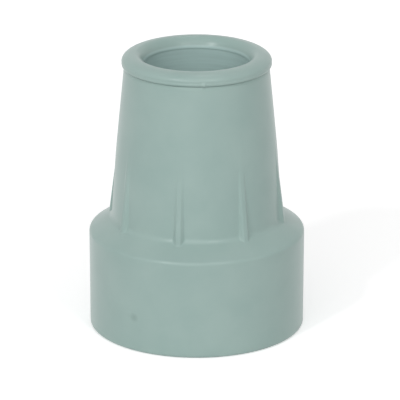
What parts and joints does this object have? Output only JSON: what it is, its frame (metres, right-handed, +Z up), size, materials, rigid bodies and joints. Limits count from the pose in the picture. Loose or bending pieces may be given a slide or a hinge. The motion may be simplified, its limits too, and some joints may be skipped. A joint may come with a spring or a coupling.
{
  "type": "rubber cane tip",
  "caption": "Grey-green moulded rubber cane tip: a wide plain base, a tapered sleeve with eight shallow ribs round its foot, a rounded lip and a blind bore for a 3/4 inch shaft.",
  "frame": {"origin": "centre of the sole, on the floor", "axes": "+Z up along the bore, -Y towards the front; the tip is round about Z"},
  "size_m": [0.0384, 0.0384, 0.0503],
  "materials": {
    "rubber": "satin"
  },
  "bodies": {
    "root": {"rubber_tip": "rubber"}
  },
  "joints": []
}
